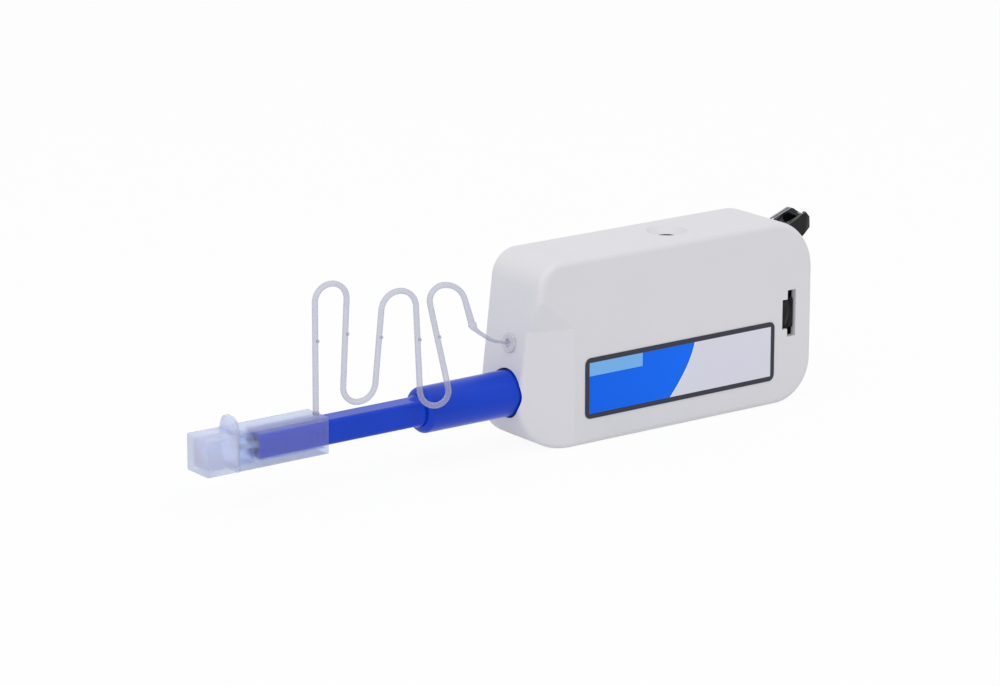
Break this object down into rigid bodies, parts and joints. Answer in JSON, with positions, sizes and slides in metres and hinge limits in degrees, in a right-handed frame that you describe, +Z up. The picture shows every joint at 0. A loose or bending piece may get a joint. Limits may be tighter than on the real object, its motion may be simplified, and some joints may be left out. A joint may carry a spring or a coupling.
{
  "type": "fibre connector cleaning pen",
  "caption": "Click-type pen that cleans 1.25 mm fibre ferrules: flat moulded housing with tape reels, round barrel, square sprung nozzle, tethered guide cap with a hinged lid.",
  "frame": {"origin": "centre of the housing's flat bottom, on the middle plane of the barrel", "axes": "+X from the cap towards the strap lug along the barrel, +Y towards the plain side, away from the label, +Z up"},
  "size_m": [0.1327, 0.0147, 0.0369],
  "materials": {
    "housing_shell": "satin moulded ABS, warm off-white",
    "side_cover": "satin moulded ABS, warm off-white",
    "label": "printed film, blue and pale grey fields",
    "tether": "soft natural polypropylene",
    "chassis": "gloss black moulding",
    "barrel": "saturated blue moulding",
    "nozzle": "saturated blue moulding",
    "nozzle_spring": "drawn spring wire",
    "slider": "light grey acetal",
    "return_spring": "drawn spring wire",
    "probe_shaft": "ground steel rod",
    "probe_tip": "white acetal",
    "tip_spring": "drawn spring wire",
    "supply_reel": "dark grey moulding",
    "supply_tape": "white woven microfibre tape",
    "take_up_reel": "dark grey moulding",
    "take_up_tape": "white woven microfibre tape",
    "drive_gear": "natural acetal",
    "cleaning_tape": "white woven microfibre tape",
    "guide_cap": "translucent natural polypropylene",
    "cap_lid": "translucent natural polypropylene"
  },
  "bodies": {
    "housing": {"housing_shell": "housing_shell", "side_cover": "side_cover", "chassis": "chassis", "label": "label", "tether": "tether", "return_spring": "return_spring", "cleaning_tape": "cleaning_tape"},
    "carriage": {"barrel": "barrel", "slider": "slider", "nozzle_spring": "nozzle_spring"},
    "nozzle": {"nozzle": "nozzle"},
    "take_up": {"take_up_reel": "take_up_reel", "take_up_tape": "take_up_tape"},
    "gear": {"drive_gear": "drive_gear"},
    "supply": {"supply_reel": "supply_reel", "supply_tape": "supply_tape"},
    "probe": {"probe_shaft": "probe_shaft", "probe_tip": "probe_tip", "tip_spring": "tip_spring"},
    "cap": {"guide_cap": "guide_cap"},
    "lid": {"cap_lid": "cap_lid"}
  },
  "joints": [
    {"name": "push_stroke", "type": "slide", "parent": "housing", "child": "carriage", "axis": [1, 0, 0], "range_m": [0, 0.009], "stiffness_N_per_m": 250, "springref_m": -0.008, "deforming": ["return_spring"]},
    {"name": "nozzle_travel", "type": "slide", "parent": "carriage", "child": "nozzle", "axis": [1, 0, 0], "range_m": [0, 0.0035], "stiffness_N_per_m": 300, "springref_m": -0.003, "deforming": ["nozzle_spring"]},
    {"name": "take_up_turn", "type": "hinge", "parent": "housing", "child": "take_up", "pos_m": [0.0028, 0, 0.024], "axis": [0, -1, 0], "range_deg": [0, 65]},
    {"name": "gear_turn", "type": "hinge", "parent": "housing", "child": "gear", "pos_m": [0.0028, 0, 0.024], "axis": [0, -1, 0], "range_deg": [0, 65]},
    {"name": "supply_turn", "type": "hinge", "parent": "housing", "child": "supply", "pos_m": [0.0208, 0, 0.024], "axis": [0, 1, 0], "range_deg": [0, 36]},
    {"name": "tip_turn", "type": "hinge", "parent": "housing", "child": "probe", "pos_m": [-0.0254, 0, 0.0102], "axis": [1, 0, 0], "range_deg": [0, 181]},
    {"name": "cap_slide", "type": "slide", "parent": "housing", "child": "cap", "axis": [-1, 0, 0], "range_m": [0, 0.016], "deforming": ["tether"]},
    {"name": "lid_hinge", "type": "hinge", "parent": "cap", "child": "lid", "pos_m": [-0.09075, 0, 0.0071], "axis": [0, -1, 0], "range_deg": [0, 110]}
  ],
  "couplings": [
    {"joint": "take_up_turn", "follows": "push_stroke", "rad_per_m": 125},
    {"joint": "gear_turn", "follows": "push_stroke", "rad_per_m": 125},
    {"joint": "supply_turn", "follows": "push_stroke", "rad_per_m": 68.18},
    {"joint": "tip_turn", "follows": "push_stroke", "rad_per_m": 349.07}
  ]
}
